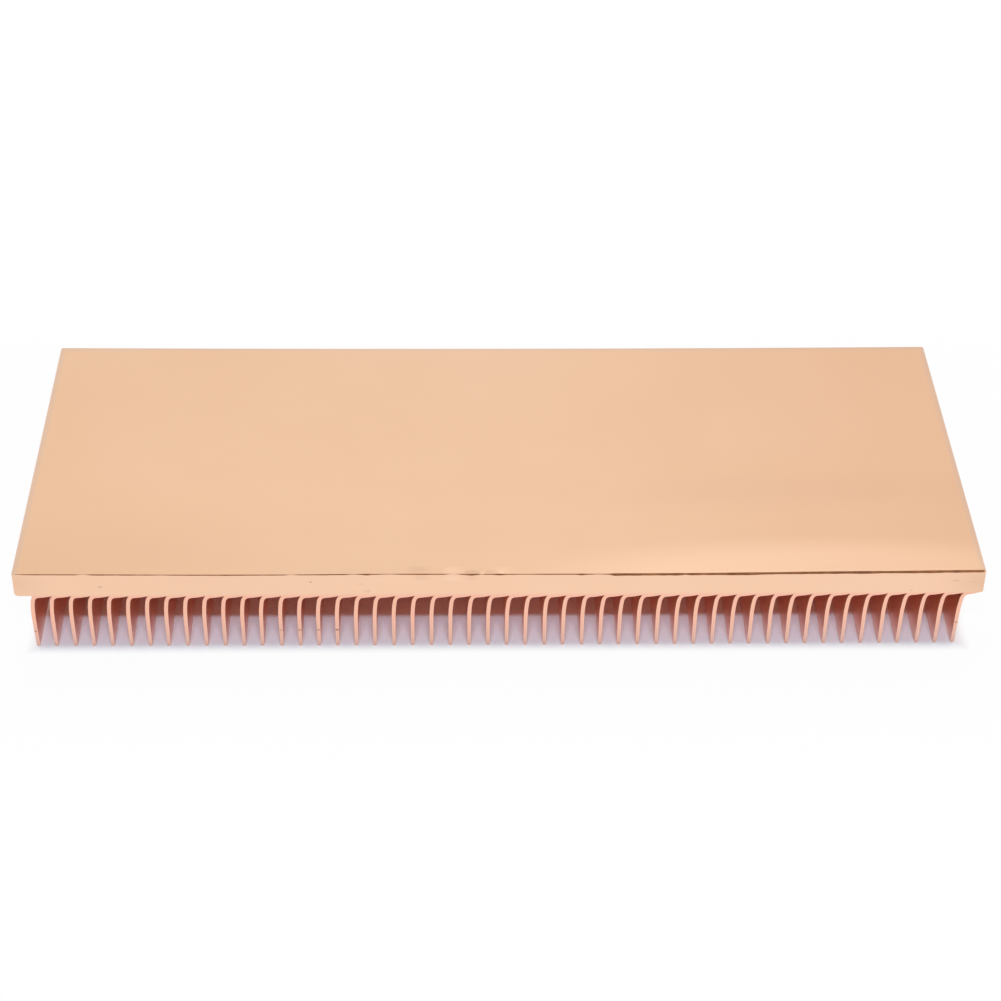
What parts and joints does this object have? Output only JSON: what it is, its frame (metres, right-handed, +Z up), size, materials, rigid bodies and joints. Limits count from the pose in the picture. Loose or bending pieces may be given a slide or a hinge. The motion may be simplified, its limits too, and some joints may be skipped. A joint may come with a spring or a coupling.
{
  "type": "skived copper heat sink",
  "caption": "Solid copper heat sink with a flat face and a row of thin upright fins cut and bent out of the same plate, to carry heat from a device into moving air.",
  "frame": {"origin": "centre of the box's underside, on the plane of the fin tips", "axes": "+X along the row of fins, towards the end where the cutting blade went in; +Y along each fin, from the front to the back; +Z up from the fin tips to the flat face"},
  "size_m": [0.15, 0.062, 0.0144],
  "materials": {
    "copper": null
  },
  "bodies": {
    "root": {"skived_heat_sink": "copper"}
  },
  "joints": []
}
